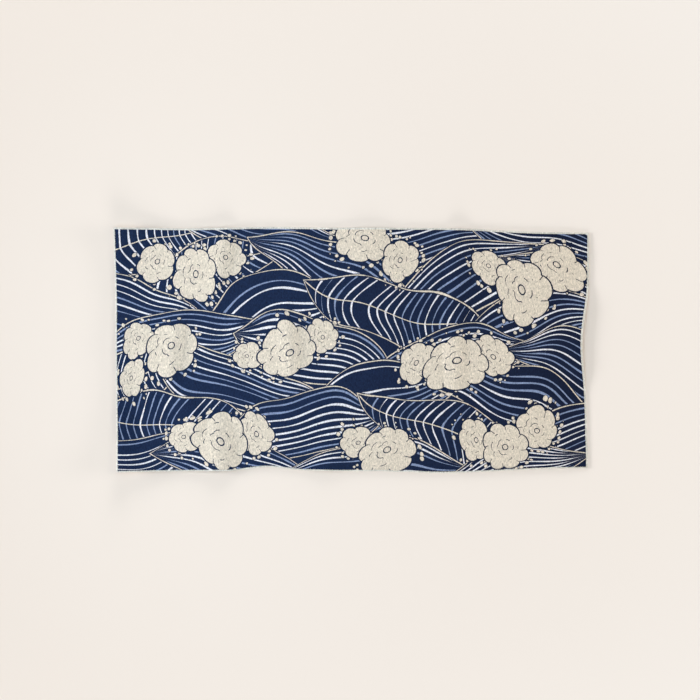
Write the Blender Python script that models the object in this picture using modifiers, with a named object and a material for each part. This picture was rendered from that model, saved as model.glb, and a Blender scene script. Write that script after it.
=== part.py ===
"""A bath towel spread out face up, one sheet of short-pile terry.

Most of the cloth lies flat. A few soft folds run across its short way. The left-hand end stands a little off
the surface, most at its corners, and the right-hand end is drawn in near its middle, where it lifts.

Metres, +Z up. +X is the towel's long way and +Y its short way. The origin is the middle of the
footprint, on the surface that the towel lies on.
"""
from collections import namedtuple

import bpy
import numpy as np

# Size of the towel as it lies, corner by corner. The short way is 0.762 m (30 in) where it is flattest.
CORNERS = {
    "bottom_left": (-0.729, -0.380),
    "bottom_right": (0.735, -0.369),
    "top_left": (-0.739, 0.380),
    "top_right": (0.739, 0.365),
}
THICKNESS = 0.003

# The rim's upper and lower edges are rounded: how far in, in how many steps, and the least turn
# between two faces that counts as such an edge.
RIM_ROUND = 0.001
RIM_STEPS = 2
RIM_LEAST_ANGLE = np.radians(50.0)

# Cells of the sheet. The folds run along the short way, so the long way has the smaller cells.
CELLS_LONG = 108
CELLS_SHORT = 24

# Where an edge leaves the straight line between its corners: drawn in where depth is positive, and
# bowed out where it is negative. reach is half the length of the stretch. The shift dies out over
# BAY_DEEP from the edge.
Bay = namedtuple("Bay", "edge centre reach depth")
BAYS = (
    Bay("right", 0.030, 0.190, 0.014),
    Bay("right", -0.070, 0.330, 0.008),
    Bay("bottom", -0.264, 0.128, 0.011),
    Bay("bottom", -0.020, 0.130, -0.0035),
    Bay("bottom", 0.300, 0.360, -0.011),
    Bay("top", -0.270, 0.260, -0.0055),
    Bay("top", 0.110, 0.520, -0.008),
    Bay("top", 0.350, 0.250, -0.0035),
    Bay("left", 0.160, 0.200, 0.002),
)
BAY_DEEP = 0.30

# The folds, each a ridge with a rounded crest from its upper end to its lower end. Most are two rows on the
# same line: a narrow ridge, and a long slope that comes up to it from the left. Both end in the same short
# right flank, which steepens to a crisp valley. An ease of 1 is crisp, and a larger one spreads the foot
# out. bow moves the middle to the right, and a fade is the length over which the fold rises from nothing. A
# fold whose end is past an edge runs off the cloth there.
Fold = namedtuple(
    "Fold",
    "name upper_x upper_y lower_x lower_y bow rise "
    "left_flank right_flank upper_fade lower_fade left_ease right_ease",
)
FOLDS = (
    Fold("right_long", 0.338, 0.480, 0.341, -0.380, -0.020, 0.0070, 0.042, 0.040, 0.08, 0.42, 1.0, 1.0),
    Fold("top_left", -0.370, 0.470, -0.440, 0.110, 0.000, 0.0033, 0.055, 0.036, 0.06, 0.15, 2.0, 1.0),
    Fold("top_left_slope", -0.370, 0.470, -0.440, 0.110, 0.000, 0.0052, 0.180, 0.036, 0.06, 0.15, 1.5, 1.0),
    Fold("left_upper", -0.520, 0.215, -0.576, -0.175, -0.006, 0.0036, 0.050, 0.034, 0.16, 0.15, 2.0, 1.0),
    Fold("left_upper_slope", -0.520, 0.215, -0.576, -0.175, -0.006, 0.0050, 0.200, 0.034, 0.16, 0.15, 1.5, 1.0),
    Fold("left_lower", -0.551, -0.090, -0.456, -0.320, 0.006, 0.0035, 0.055, 0.038, 0.12, 0.12, 2.0, 1.0),
    Fold("left_lower_slope", -0.551, -0.090, -0.456, -0.320, 0.006, 0.0041, 0.160, 0.038, 0.12, 0.12, 1.5, 1.0),
    Fold("bottom_left", -0.436, -0.130, -0.402, -0.470, 0.004, 0.0053, 0.060, 0.056, 0.16, 0.06, 2.0, 1.0),
    Fold("bottom_left_slope", -0.436, -0.130, -0.402, -0.470, 0.004, 0.0054, 0.180, 0.056, 0.16, 0.06, 1.5, 1.0),
    Fold("middle_left", -0.214, 0.190, -0.184, -0.160, 0.004, 0.0047, 0.045, 0.036, 0.17, 0.17, 2.0, 1.0),
    Fold("middle_left_slope", -0.214, 0.190, -0.184, -0.160, 0.004, 0.0044, 0.150, 0.036, 0.17, 0.17, 1.5, 1.0),
    Fold("top_middle", 0.070, 0.480, -0.005, 0.080, 0.010, 0.0050, 0.110, 0.100, 0.06, 0.26, 2.0, 2.0),
    Fold("bottom_middle", -0.056, -0.120, -0.096, -0.480, 0.008, 0.0050, 0.090, 0.080, 0.24, 0.06, 2.0, 2.0),
    Fold("left_lip", -0.737, 0.480, -0.727, -0.480, 0.000, 0.0032, 0.030, 0.047, 0.06, 0.06, 1.0, 1.0),
    Fold("left_lip_high", -0.738, 0.480, -0.736, 0.060, 0.000, 0.0055, 0.030, 0.090, 0.06, 0.22, 1.0, 1.0),
    Fold("left_lip_low", -0.728, -0.060, -0.725, -0.480, 0.000, 0.0086, 0.030, 0.052, 0.22, 0.06, 1.0, 1.0),
)
# A flank's width where a fold has just risen, as a share of its full width.
NARROWEST = 0.55
# How a flank leaves the crest: 1 would be a sharp crest, and 2 the round of a parabola.
SHOULDER = 1.6

# Places where the rim stands off the surface: half sizes of each oval, and its height at the middle.
Lift = namedtuple("Lift", "name x y half_x half_y rise")
LIFTS = (
    Lift("top_left_corner", -0.700, 0.400, 0.200, 0.130, 0.012),
    Lift("bottom_left_corner", -0.700, -0.400, 0.200, 0.140, 0.012),
    Lift("left_middle", -0.715, 0.010, 0.150, 0.200, 0.0050),
    Lift("right_upper_middle", 0.750, 0.100, 0.110, 0.130, 0.0085),
    Lift("right_lower_middle", 0.750, -0.020, 0.110, 0.130, 0.0085),
    Lift("right_top", 0.750, 0.270, 0.070, 0.130, 0.0015),
)

# Short-pile cotton terry, matt all over, in the navy of the print's ground.
NAVY = (0.011, 0.024, 0.091, 1.0)
TERRY_ROUGHNESS = 0.95
TERRY_METALLIC = 0.0


def clear_scene():
    """Remove every object, so that the script gives the same result in any file."""
    for thing in list(bpy.data.objects):
        bpy.data.objects.remove(thing)


def soft_bump(t):
    """1 at t = 0, falling to 0 at t = -1 and t = 1, level at all three."""
    return np.cos(np.clip(t, -1.0, 1.0) * np.pi / 2) ** 2


def soft_step(t):
    """0 up to t = 0 and 1 from t = 1, rising smoothly between them."""
    t = np.clip(t, 0.0, 1.0)
    return t * t * (3.0 - 2.0 * t)


def drawn_in(edge, along, distance):
    """How far the cloth is drawn in from this edge, at a place along it and a distance from it."""
    total = np.zeros_like(along)
    for bay in BAYS:
        if bay.edge == edge:
            total += bay.depth * soft_bump((along - bay.centre) / bay.reach)
    return total * soft_step(1.0 - distance / BAY_DEEP)


def outline(u, v):
    """The sheet's plan: the four corners joined by straight lines, then each edge's bays."""
    low_left, low_right = CORNERS["bottom_left"], CORNERS["bottom_right"]
    top_left, top_right = CORNERS["top_left"], CORNERS["top_right"]
    plan = []
    for axis in (0, 1):
        low = low_left[axis] + (low_right[axis] - low_left[axis]) * u
        high = top_left[axis] + (top_right[axis] - top_left[axis]) * u
        plan.append(low + (high - low) * v)
    x, y = plan
    long_way = CORNERS["top_right"][0] - CORNERS["top_left"][0]
    short_way = CORNERS["top_left"][1] - CORNERS["bottom_left"][1]
    shift_x = drawn_in("left", y, u * long_way) - drawn_in("right", y, (1.0 - u) * long_way)
    shift_y = drawn_in("bottom", x, v * short_way) - drawn_in("top", x, (1.0 - v) * short_way)
    return x + shift_x, y + shift_y


def ridge(t, left_ease, right_ease):
    """A fold's section: 1 at its rounded crest, t = 0, and 0 from t = -1 and t = 1 outwards."""
    shoulder = 1.0 - np.clip(np.abs(t), 0.0, 1.0) ** SHOULDER
    return shoulder ** np.where(t < 0.0, left_ease, right_ease)


def fold_height(fold, x, y):
    """A ridge along the bowed line between the fold's ends, lower and narrower towards both of them."""
    run_x, run_y = fold.lower_x - fold.upper_x, fold.lower_y - fold.upper_y
    length = np.hypot(run_x, run_y)
    run_x, run_y = run_x / length, run_y / length
    from_upper = (x - fold.upper_x) * run_x + (y - fold.upper_y) * run_y
    crest = fold.bow * soft_bump(2.0 * from_upper / length - 1.0)
    to_right = (y - fold.upper_y) * run_x - (x - fold.upper_x) * run_y - crest
    ends = soft_step(from_upper / fold.upper_fade) * soft_step((length - from_upper) / fold.lower_fade)
    flank = np.where(to_right < 0.0, fold.left_flank, fold.right_flank)
    flank *= NARROWEST + (1.0 - NARROWEST) * ends
    return fold.rise * ridge(to_right / flank, fold.left_ease, fold.right_ease) * ends


def lift_height(lift, x, y):
    """An oval swell, highest at its middle and level where it meets the flat cloth."""
    away = np.hypot((x - lift.x) / lift.half_x, (y - lift.y) / lift.half_y)
    return lift.rise * soft_bump(away)


def underside(x, y):
    """Height of the cloth's underside: 0 where it rests on the surface."""
    height = np.zeros_like(x)
    for fold in FOLDS:
        height += fold_height(fold, x, y)
    for lift in LIFTS:
        height += lift_height(lift, x, y)
    return height


def terry_material():
    """Cotton terry in its main colour."""
    material = bpy.data.materials.new("cotton_terry")
    material.use_nodes = True
    shader = material.node_tree.nodes["Principled BSDF"]
    shader.inputs["Base Color"].default_value = NAVY
    shader.inputs["Roughness"].default_value = TERRY_ROUGHNESS
    shader.inputs["Metallic"].default_value = TERRY_METALLIC
    return material


def make_towel():
    """The towel: an open grid laid on the folds, given its thickness upwards and a rounded rim."""
    bpy.ops.mesh.primitive_grid_add(x_subdivisions=CELLS_LONG, y_subdivisions=CELLS_SHORT, size=1.0)
    towel = bpy.context.object
    towel.name = "towel"
    towel.data.name = "towel"
    mesh = towel.data

    points = np.empty(len(mesh.vertices) * 3, dtype=np.float32)
    mesh.vertices.foreach_get("co", points)
    points = points.reshape(-1, 3).astype(float)
    x, y = outline(points[:, 0] + 0.5, points[:, 1] + 0.5)
    height = underside(x, y)
    middle_x = (x.max() + x.min()) / 2
    middle_y = (y.max() + y.min()) / 2
    print(f"footprint's middle, from which the origin is set: {middle_x:.4f}, {middle_y:.4f} m")
    points = np.stack([x - middle_x, y - middle_y, height], axis=1)
    mesh.vertices.foreach_set("co", points.astype(np.float32).ravel())
    mesh.update()
    mesh.shade_smooth()
    mesh.materials.append(terry_material())

    sheet = towel.modifiers.new("cloth_thickness", "SOLIDIFY")
    sheet.thickness = THICKNESS
    sheet.offset = 1.0
    sheet.use_even_offset = True

    rim = towel.modifiers.new("rounded_rim", "BEVEL")
    rim.width = RIM_ROUND
    rim.segments = RIM_STEPS
    rim.limit_method = "ANGLE"
    rim.angle_limit = RIM_LEAST_ANGLE
    return towel


def main():
    clear_scene()
    pieces = bpy.data.collections.new("bath_towel")
    bpy.context.scene.collection.children.link(pieces)
    towel = make_towel()
    for holder in list(towel.users_collection):
        holder.objects.unlink(towel)
    pieces.objects.link(towel)
    print(f"towel: {len(towel.data.vertices)} points before it is given its thickness")


main()
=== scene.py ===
# %% [markdown]
# # A printed bath towel, spread out face up
#
# A bath towel is one length of terry: a ground weave that carries small loops of soft cotton yarn on both
# faces. This one has a flower and leaf print on its face, and it lies on a flat surface with a few low
# folds across it. The lesson builds it as one thin sheet of cloth worked out with numpy, gives it a print
# made of shader nodes, and sets it under a soft studio light, seen from straight above.
#
# The imported model is loaded first. It gives the towel's box.

# %% Load the frame
from collections import namedtuple
from functools import partial

import bpy
import numpy as np
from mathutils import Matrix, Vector


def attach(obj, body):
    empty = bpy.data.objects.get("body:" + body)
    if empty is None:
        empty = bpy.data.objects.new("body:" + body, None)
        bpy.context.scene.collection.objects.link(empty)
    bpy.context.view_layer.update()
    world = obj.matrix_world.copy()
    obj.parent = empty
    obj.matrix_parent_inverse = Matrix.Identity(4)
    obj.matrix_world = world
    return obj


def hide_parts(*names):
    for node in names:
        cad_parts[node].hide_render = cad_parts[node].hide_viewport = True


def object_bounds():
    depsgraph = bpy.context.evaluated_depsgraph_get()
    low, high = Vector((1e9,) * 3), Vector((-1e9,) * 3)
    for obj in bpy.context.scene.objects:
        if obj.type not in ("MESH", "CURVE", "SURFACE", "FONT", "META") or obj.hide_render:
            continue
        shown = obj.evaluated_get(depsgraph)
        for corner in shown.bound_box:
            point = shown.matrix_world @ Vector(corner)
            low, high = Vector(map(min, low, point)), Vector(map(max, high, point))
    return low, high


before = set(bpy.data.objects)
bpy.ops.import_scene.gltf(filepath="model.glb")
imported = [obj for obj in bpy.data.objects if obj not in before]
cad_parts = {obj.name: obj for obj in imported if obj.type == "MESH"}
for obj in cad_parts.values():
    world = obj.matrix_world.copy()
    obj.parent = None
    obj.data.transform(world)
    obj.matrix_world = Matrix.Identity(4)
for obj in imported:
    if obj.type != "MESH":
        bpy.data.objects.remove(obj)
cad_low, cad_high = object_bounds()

cad_low, cad_high = list(cad_low), list(cad_high)
print("the packed towel's box, m:", np.round(cad_low, 4), np.round(cad_high, 4))

# %% [markdown]
# ## The camera
#
# The view is from straight above, so the towel is seen as a plan. A long lens held well back keeps the
# outline free of perspective. The camera is made first, because it settles how much of the scene shows.

# %% Camera
CAMERA_HEIGHT = 5.14
CAMERA_MIDDLE = (-0.0054, -0.0002)
LENS = 85.0
SENSOR = 36.0

camera_data = bpy.data.cameras.new("camera_above")
camera_data.lens = LENS
camera_data.sensor_width = SENSOR
camera = bpy.data.objects.new("camera_above", camera_data)
camera.location = (*CAMERA_MIDDLE, CAMERA_HEIGHT)
bpy.context.scene.collection.objects.link(camera)
bpy.context.scene.camera = camera
print("the frame's width at the surface, m:", round(CAMERA_HEIGHT * SENSOR / LENS, 3))

# %% [markdown]
# ## Two soft curves
#
# Cloth has no corners in its folds, so every rise and fall here is built from two curves that start and end
# level: a bump that goes up and comes down again, and a step that goes from none to all.

# %% Soft curves


def soft_bump(t):
    """The square of a cosine: 1 at t = 0, falling to 0 at t = -1 and at t = 1, level at all three."""
    return np.cos(np.clip(t, -1.0, 1.0) * np.pi / 2) ** 2


def soft_step(t):
    """Three t squared less two t cubed: 0 up to t = 0 and 1 from t = 1, level at both."""
    t = np.clip(t, 0.0, 1.0)
    return t * t * (3.0 - 2.0 * t)


print("half way up the bump and the step:", soft_bump(np.array(0.5)), soft_step(np.array(0.5)))

# %% [markdown]
# ## The outline of the cloth as it lies
#
# A towel is cut square and never lies square. The four corners are joined by straight lines, and then each
# edge is drawn in or bowed out along a few stretches. The right-hand end is drawn in near its middle, where
# the cloth lifts. The shift fades out 0.30 m from the edge, so the cloth inside isn't pulled about.

# %% Outline
FLAT_LONG = 1.49
FLAT_SHORT = 0.762
# The lower pair and the upper pair of corners, each with its left one first.
CORNERS = np.array([[(-0.729, -0.380), (0.735, -0.369)], [(-0.739, 0.380), (0.739, 0.365)]])
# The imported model's origin is the middle of its footprint, this far from the middle of the corners' axes.
FOOTPRINT_MIDDLE = (0.0, -0.0006)

Bay = namedtuple("Bay", "edge centre reach depth")
BAYS = [Bay(*row) for row in (
    ("right", 0.03, 0.19, 0.014),
    ("right", -0.07, 0.33, 0.008),
    ("bottom", -0.264, 0.128, 0.011),
    ("bottom", -0.02, 0.13, -0.0035),
    ("bottom", 0.3, 0.36, -0.011),
    ("top", -0.27, 0.26, -0.0055),
    ("top", 0.11, 0.52, -0.008),
    ("top", 0.35, 0.25, -0.0035),
    ("left", 0.16, 0.2, 0.002),
)]
BAY_DEEP = 0.30


def drawn_in(edge, along, distance):
    """The sum of the edge's bays, each a depth times a bump, faded out by a step with distance inwards."""
    total = np.zeros_like(along)
    for bay in BAYS:
        if bay.edge == edge:
            total += bay.depth * soft_bump((along - bay.centre) / bay.reach)
    return total * soft_step(1.0 - distance / BAY_DEEP)


def outline(u, v):
    """The corners blended by u along and v across, then moved in or out by the four edges' bays."""
    (low_left, low_right), (top_left, top_right) = CORNERS
    u, v = u[..., None], v[..., None]
    plan = (low_left * (1 - u) + low_right * u) * (1 - v) + (top_left * (1 - u) + top_right * u) * v
    u, v = u[..., 0], v[..., 0]
    x, y = plan[..., 0], plan[..., 1]
    long_way = top_right[0] - top_left[0]
    short_way = top_left[1] - low_left[1]
    shift_x = drawn_in("left", y, u * long_way) - drawn_in("right", y, (1.0 - u) * long_way)
    shift_y = drawn_in("bottom", x, v * short_way) - drawn_in("top", x, (1.0 - v) * short_way)
    return x + shift_x, y + shift_y


ends = outline(np.array([0.0, 1.0]), np.array([0.5, 0.5]))
print("the towel's length across its middle, m:", round(float(ends[0][1] - ends[0][0]), 4))

# %% [markdown]
# ## The folds
#
# The folds are low ridges that cross the towel's short way. Many are two on the same line: a narrow
# ridge, and a long slope that comes up to it from the left. Both end in the same short, steep right flank.
# Each bows a little and rises from nothing at its ends. A second table has oval lifts, where a corner or an
# edge stands off the surface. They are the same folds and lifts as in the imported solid.

# %% Folds
Fold = namedtuple(
    "Fold",
    "name upper_x upper_y lower_x lower_y bow rise "
    "left_flank right_flank upper_fade lower_fade left_ease right_ease",
    defaults=(2.0, 2.0),
)
FOLDS = [Fold(*row) for row in (
    ("right_long", 0.338, 0.48, 0.341, -0.38, -0.02, 0.007, 0.042, 0.04, 0.08, 0.42, 1.0, 1.0),
    ("top_left", -0.37, 0.47, -0.44, 0.11, 0.0, 0.0033, 0.055, 0.036, 0.06, 0.15, 2.0, 1.0),
    ("left_upper", -0.52, 0.215, -0.576, -0.175, -0.006, 0.0036, 0.05, 0.034, 0.16, 0.15, 2.0, 1.0),
    ("left_lower", -0.551, -0.09, -0.456, -0.32, 0.006, 0.0035, 0.055, 0.038, 0.12, 0.12, 2.0, 1.0),
    ("bottom_left", -0.436, -0.13, -0.402, -0.47, 0.004, 0.0053, 0.06, 0.056, 0.16, 0.06, 2.0, 1.0),
    ("middle_left", -0.214, 0.19, -0.184, -0.16, 0.004, 0.0047, 0.045, 0.036, 0.17, 0.17, 2.0, 1.0),
    ("top_middle", 0.07, 0.48, -0.005, 0.08, 0.01, 0.005, 0.11, 0.1, 0.06, 0.26),
    ("bottom_middle", -0.056, -0.12, -0.096, -0.48, 0.008, 0.005, 0.09, 0.08, 0.24, 0.06),
    ("left_lip", -0.737, 0.48, -0.727, -0.48, 0.0, 0.0032, 0.03, 0.047, 0.06, 0.06, 1.0, 1.0),
    ("left_lip_high", -0.738, 0.48, -0.736, 0.06, 0.0, 0.0055, 0.03, 0.09, 0.06, 0.22, 1.0, 1.0),
    ("left_lip_low", -0.728, -0.06, -0.725, -0.48, 0.0, 0.0086, 0.03, 0.052, 0.22, 0.06, 1.0, 1.0),
)]
# A slope has its ridge's values apart from the rise, the left flank and the left ease, and follows it.
SLOPE_EASE = 1.5
for name, rise, flank in (
    ("top_left", 0.0052, 0.18), ("left_upper", 0.005, 0.2), ("left_lower", 0.0041, 0.16),
    ("bottom_left", 0.0054, 0.18), ("middle_left", 0.0044, 0.15),
):
    place = [fold.name for fold in FOLDS].index(name)
    slope = FOLDS[place]._replace(name=name + "_slope", rise=rise, left_flank=flank, left_ease=SLOPE_EASE)
    FOLDS.insert(place + 1, slope)
NARROWEST = 0.55
SHOULDER = 1.6

Lift = namedtuple("Lift", "name x y half_x half_y rise")
LIFTS = [Lift(*row) for row in (
    ("top_left_corner", -0.7, 0.4, 0.2, 0.13, 0.012),
    ("bottom_left_corner", -0.7, -0.4, 0.2, 0.14, 0.012),
    ("left_middle", -0.715, 0.01, 0.15, 0.2, 0.005),
    ("right_upper_middle", 0.75, 0.1, 0.11, 0.13, 0.0085),
    ("right_lower_middle", 0.75, -0.02, 0.11, 0.13, 0.0085),
    ("right_top", 0.75, 0.27, 0.07, 0.13, 0.0015),
)]


def ridge(t, left_ease, right_ease):
    """One less a power of the share of the flank that is passed, and all of that to the side's ease."""
    shoulder = 1.0 - np.clip(np.abs(t), 0.0, 1.0) ** SHOULDER
    return shoulder ** np.where(t < 0.0, left_ease, right_ease)


def fold_height(fold, x, y):
    """The rise times a ridge across the bowed line between the ends, narrower and lower towards both."""
    run_x, run_y = fold.lower_x - fold.upper_x, fold.lower_y - fold.upper_y
    length = np.hypot(run_x, run_y)
    run_x, run_y = run_x / length, run_y / length
    from_upper = (x - fold.upper_x) * run_x + (y - fold.upper_y) * run_y
    crest = fold.bow * soft_bump(2.0 * from_upper / length - 1.0)
    to_right = (y - fold.upper_y) * run_x - (x - fold.upper_x) * run_y - crest
    ends = soft_step(from_upper / fold.upper_fade) * soft_step((length - from_upper) / fold.lower_fade)
    flank = np.where(to_right < 0.0, fold.left_flank, fold.right_flank)
    flank *= NARROWEST + (1.0 - NARROWEST) * ends
    return fold.rise * ridge(to_right / flank, fold.left_ease, fold.right_ease) * ends


def lift_height(lift, x, y):
    """The rise times a bump of the distance from the middle, measured in the oval's half sizes."""
    away = np.hypot((x - lift.x) / lift.half_x, (y - lift.y) / lift.half_y)
    return lift.rise * soft_bump(away)


def underside(x, y):
    """The sum of all the folds and lifts: 0 where the cloth rests on the surface."""
    folds = sum(fold_height(fold, x, y) for fold in FOLDS)
    return folds + sum(lift_height(lift, x, y) for lift in LIFTS)


print("folds:", ", ".join(fold.name for fold in FOLDS))
print("lifts:", ", ".join(lift.name for lift in LIFTS))

# %% [markdown]
# ## Small unevenness
#
# Between its folds real cloth is never quite level. Small troughs run beside the folds and along the edges,
# and the pile lies thicker in some places than in others. Smooth random values on a lattice, blended
# between the lattice points, give that. The seed is fixed, so the cloth is the same each time.

# %% Unevenness
LATTICE = 128


def smooth_noise(x, y, spacing, seed):
    """Random heights from -1 to 1 on a square lattice, blended by soft steps between its points."""
    heights = np.random.default_rng(seed).uniform(-1.0, 1.0, (LATTICE, LATTICE))
    across, up = x / spacing, y / spacing
    column, row = np.floor(across).astype(int), np.floor(up).astype(int)
    right, above = soft_step(across - column), soft_step(up - row)

    def along_row(row):
        near, far = heights[column % LATTICE, row % LATTICE], heights[(column + 1) % LATTICE, row % LATTICE]
        return near + (far - near) * right

    lower, upper = along_row(row), along_row(row + 1)
    return lower + (upper - lower) * above


# Shallow creases in the pile's surface: ridges have a rise and troughs a negative one. They lie on top of
# the folds above and leave the underside where it is.
CREASES = [Fold(*row) for row in (
    ("beside_right_long", 0.43, 0.3, 0.405, -0.12, 0.008, -0.0009, 0.03, 0.045, 0.14, 0.14),
    ("right_low", 0.56, -0.06, 0.6, -0.4, -0.01, 0.001, 0.05, 0.04, 0.12, 0.06),
    ("right_high", 0.6, 0.4, 0.56, 0.15, 0.006, 0.001, 0.05, 0.04, 0.05, 0.14),
    ("middle_high", -0.06, 0.42, -0.11, 0.16, 0.006, 0.0009, 0.045, 0.04, 0.05, 0.14),
    ("middle_low", 0.13, -0.08, 0.1, -0.4, 0.006, 0.0009, 0.05, 0.045, 0.14, 0.05),
    ("left_middle", -0.34, 0.06, -0.31, -0.18, 0.004, -0.0008, 0.035, 0.04, 0.1, 0.1),
    ("left_high", -0.64, 0.33, -0.6, 0.12, 0.004, -0.0008, 0.035, 0.035, 0.1, 0.1),
    ("left_low", -0.64, -0.12, -0.61, -0.34, 0.004, 0.001, 0.04, 0.035, 0.1, 0.1),
)]
LIE_SPACINGS = (0.150, 0.060)
LIE_HEIGHTS = (0.00035, 0.00020)
CLUMP_SPACING = 0.011
CLUMP_HEIGHT = 0.00022
CLUMP_SEED = 7


def pile_unevenness(x, y):
    """The creases' heights, plus smooth noise at three spacings: two for how it lies, one for clumps."""
    height = sum(fold_height(crease, x, y) for crease in CREASES)
    for seed, (spacing, rise) in enumerate(zip(LIE_SPACINGS, LIE_HEIGHTS)):
        height = height + rise * smooth_noise(x, y, spacing, seed)
    return height + CLUMP_HEIGHT * smooth_noise(x, y, CLUMP_SPACING, CLUMP_SEED)


sample = pile_unevenness(*np.meshgrid(np.linspace(-0.7, 0.7, 200), np.linspace(-0.35, 0.35, 100)))
print("creases:", ", ".join(crease.name for crease in CREASES))
print("unevenness of the pile, mm:", round(1000 * sample.min(), 2), "to", round(1000 * sample.max(), 2))

# %% [markdown]
# ## From flat cloth to the cloth as it lies
#
# A point of the cloth is named by where it was on the flat towel: so far along, so far across, in metres
# from the middle. One function turns that into a place in the scene. The corners of the flat cloth are
# slightly round, because the hem is turned there, and the edge wanders by less than a millimetre between
# stitches.

# %% Flat to laid
CORNER_ROUND = 0.006
WANDER = 0.0007
WANDER_SPACING = 0.045
WANDER_DEEP = 0.020
WANDER_SEED = 11
TINY = 1e-9


def round_corners(along, across):
    """Within a square at each corner, the distance from its inner point is cut back to a quarter circle."""
    over_x = np.clip(np.abs(along) - (FLAT_LONG / 2 - CORNER_ROUND), 0.0, None)
    over_y = np.clip(np.abs(across) - (FLAT_SHORT / 2 - CORNER_ROUND), 0.0, None)
    reach = np.hypot(over_x, over_y)
    keep = np.where(reach > 0.0, np.maximum(over_x, over_y) / np.maximum(reach, TINY), 1.0)
    along = np.sign(along) * (np.abs(along) - over_x * (1.0 - keep))
    across = np.sign(across) * (np.abs(across) - over_y * (1.0 - keep))
    return along, across


def edge_distance(along, across):
    """How far a flat point is from the nearest edge of the cloth."""
    return np.minimum(FLAT_LONG / 2 - np.abs(along), FLAT_SHORT / 2 - np.abs(across))


def laid(along, across):
    """A flat point's place and underside: corners rounded, edge wandered by noise, outline, recentred."""
    along, across = round_corners(along, across)
    near_edge = soft_step(1.0 - edge_distance(along, across) / WANDER_DEEP)
    inwards = WANDER * near_edge * (smooth_noise(along, across, WANDER_SPACING, WANDER_SEED) - 1.0)
    along = along + inwards * np.sign(along) * (FLAT_LONG / 2 - np.abs(along) < WANDER_DEEP)
    across = across + inwards * np.sign(across) * (FLAT_SHORT / 2 - np.abs(across) < WANDER_DEEP)
    x, y = outline(along / FLAT_LONG + 0.5, across / FLAT_SHORT + 0.5)
    base = underside(x, y)
    return x - FOOTPRINT_MIDDLE[0], y - FOOTPRINT_MIDDLE[1], base


corner = laid(np.array([-FLAT_LONG / 2]), np.array([FLAT_SHORT / 2]))
print("the upper left corner as it lies, m:", [round(float(part[0]), 4) for part in corner])

# %% [markdown]
# ## Thickness, hem and rim
#
# The hem is the cloth's own edge, turned under and sewn flat, a little lower than the pile beside it. From
# the edge inwards the top is level, dips where the stitches pull it down, and then rises to the full pile.
# The outermost half millimetre is a rounded rim. Towards the right end the cloth is pressed thinner, which
# keeps its shadow narrow. The grid's lines are close together at the rim and even elsewhere.

# %% Section of the hem
PILE_THICK = 0.0032
HEM_THICK = 0.0031
STITCH_INSET = 0.0038
STITCH_DIP = 0.0003
STITCH_DIP_HALF = 0.0012
PILE_STARTS = 0.0052
PILE_FULL = 0.0100
RIGHT_THINNER = 0.0014
THINS_FROM = 0.660
THINS_TO = 0.728
RIM_RADIUS = 0.0006
RIM_STEPS = 6
HEM_LINES = (0.0, 0.0013, 0.0027, 0.0041, 0.0055, 0.0072, 0.0096, 0.0130)
CELLS_LONG = 284
CELLS_SHORT = 136


def thickness(distance, along):
    """The hem's level, less a bump at the stitches, plus a step up to the pile, less a step at the right."""
    dip = STITCH_DIP * soft_bump((distance - STITCH_INSET) / STITCH_DIP_HALF)
    step = soft_step((distance - PILE_STARTS) / (PILE_FULL - PILE_STARTS))
    thinner = RIGHT_THINNER * soft_step((along - THINS_FROM) / (THINS_TO - THINS_FROM))
    return HEM_THICK - dip + (PILE_THICK - HEM_THICK) * step - thinner


def grid_lines(length, cells):
    """Places of the grid's lines: the hem's lines from each end, and even ones between."""
    hem = np.array(HEM_LINES) + RIM_RADIUS
    half = length / 2
    inner = np.linspace(-half + hem[-1], half - hem[-1], cells + 1)
    return np.concatenate([-half + hem[:-1], inner, (half - hem[:-1])[::-1]])


lines_long = grid_lines(FLAT_LONG, CELLS_LONG)
lines_short = grid_lines(FLAT_SHORT, CELLS_SHORT)
print("lines along and across:", len(lines_long), len(lines_short))

# %% [markdown]
# ## The sheet of cloth
#
# The cloth could be a flat grid with Solidify, but then its hem and its pile couldn't differ. So the closed
# sheet is worked out in one go: an upper grid, a lower grid turned the other way, and between them the
# rings of the half round rim. All its points are whole arrays.

# %% Build the sheet


def outer_ring():
    """Grid places of the outer ring, anticlockwise from the lower left corner, and each one's ways out."""
    last_column, last_row = len(lines_long) - 1, len(lines_short) - 1
    long_way, short_way = np.arange(last_column + 1), np.arange(last_row + 1)
    right, left = np.full(last_row, last_column), np.zeros(last_row, dtype=int)
    top, bottom = np.full(last_column, last_row), np.zeros(last_column, dtype=int)
    column = np.concatenate([long_way[:-1], right, long_way[:0:-1], left])
    row = np.concatenate([bottom, short_way[:-1], top, short_way[:0:-1]])
    out_x = np.where(column == 0, -1.0, np.where(column == last_column, 1.0, 0.0))
    out_y = np.where(row == 0, -1.0, np.where(row == last_row, 1.0, 0.0))
    return column, row, out_x, out_y


def listed(*parts):
    """Grids of numbers put side by side as a list of points."""
    return np.stack(parts, axis=-1).reshape(-1, len(parts))


ring_column, ring_row, out_x, out_y = outer_ring()
edge_x, edge_y = lines_long[ring_column], lines_short[ring_row]


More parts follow.
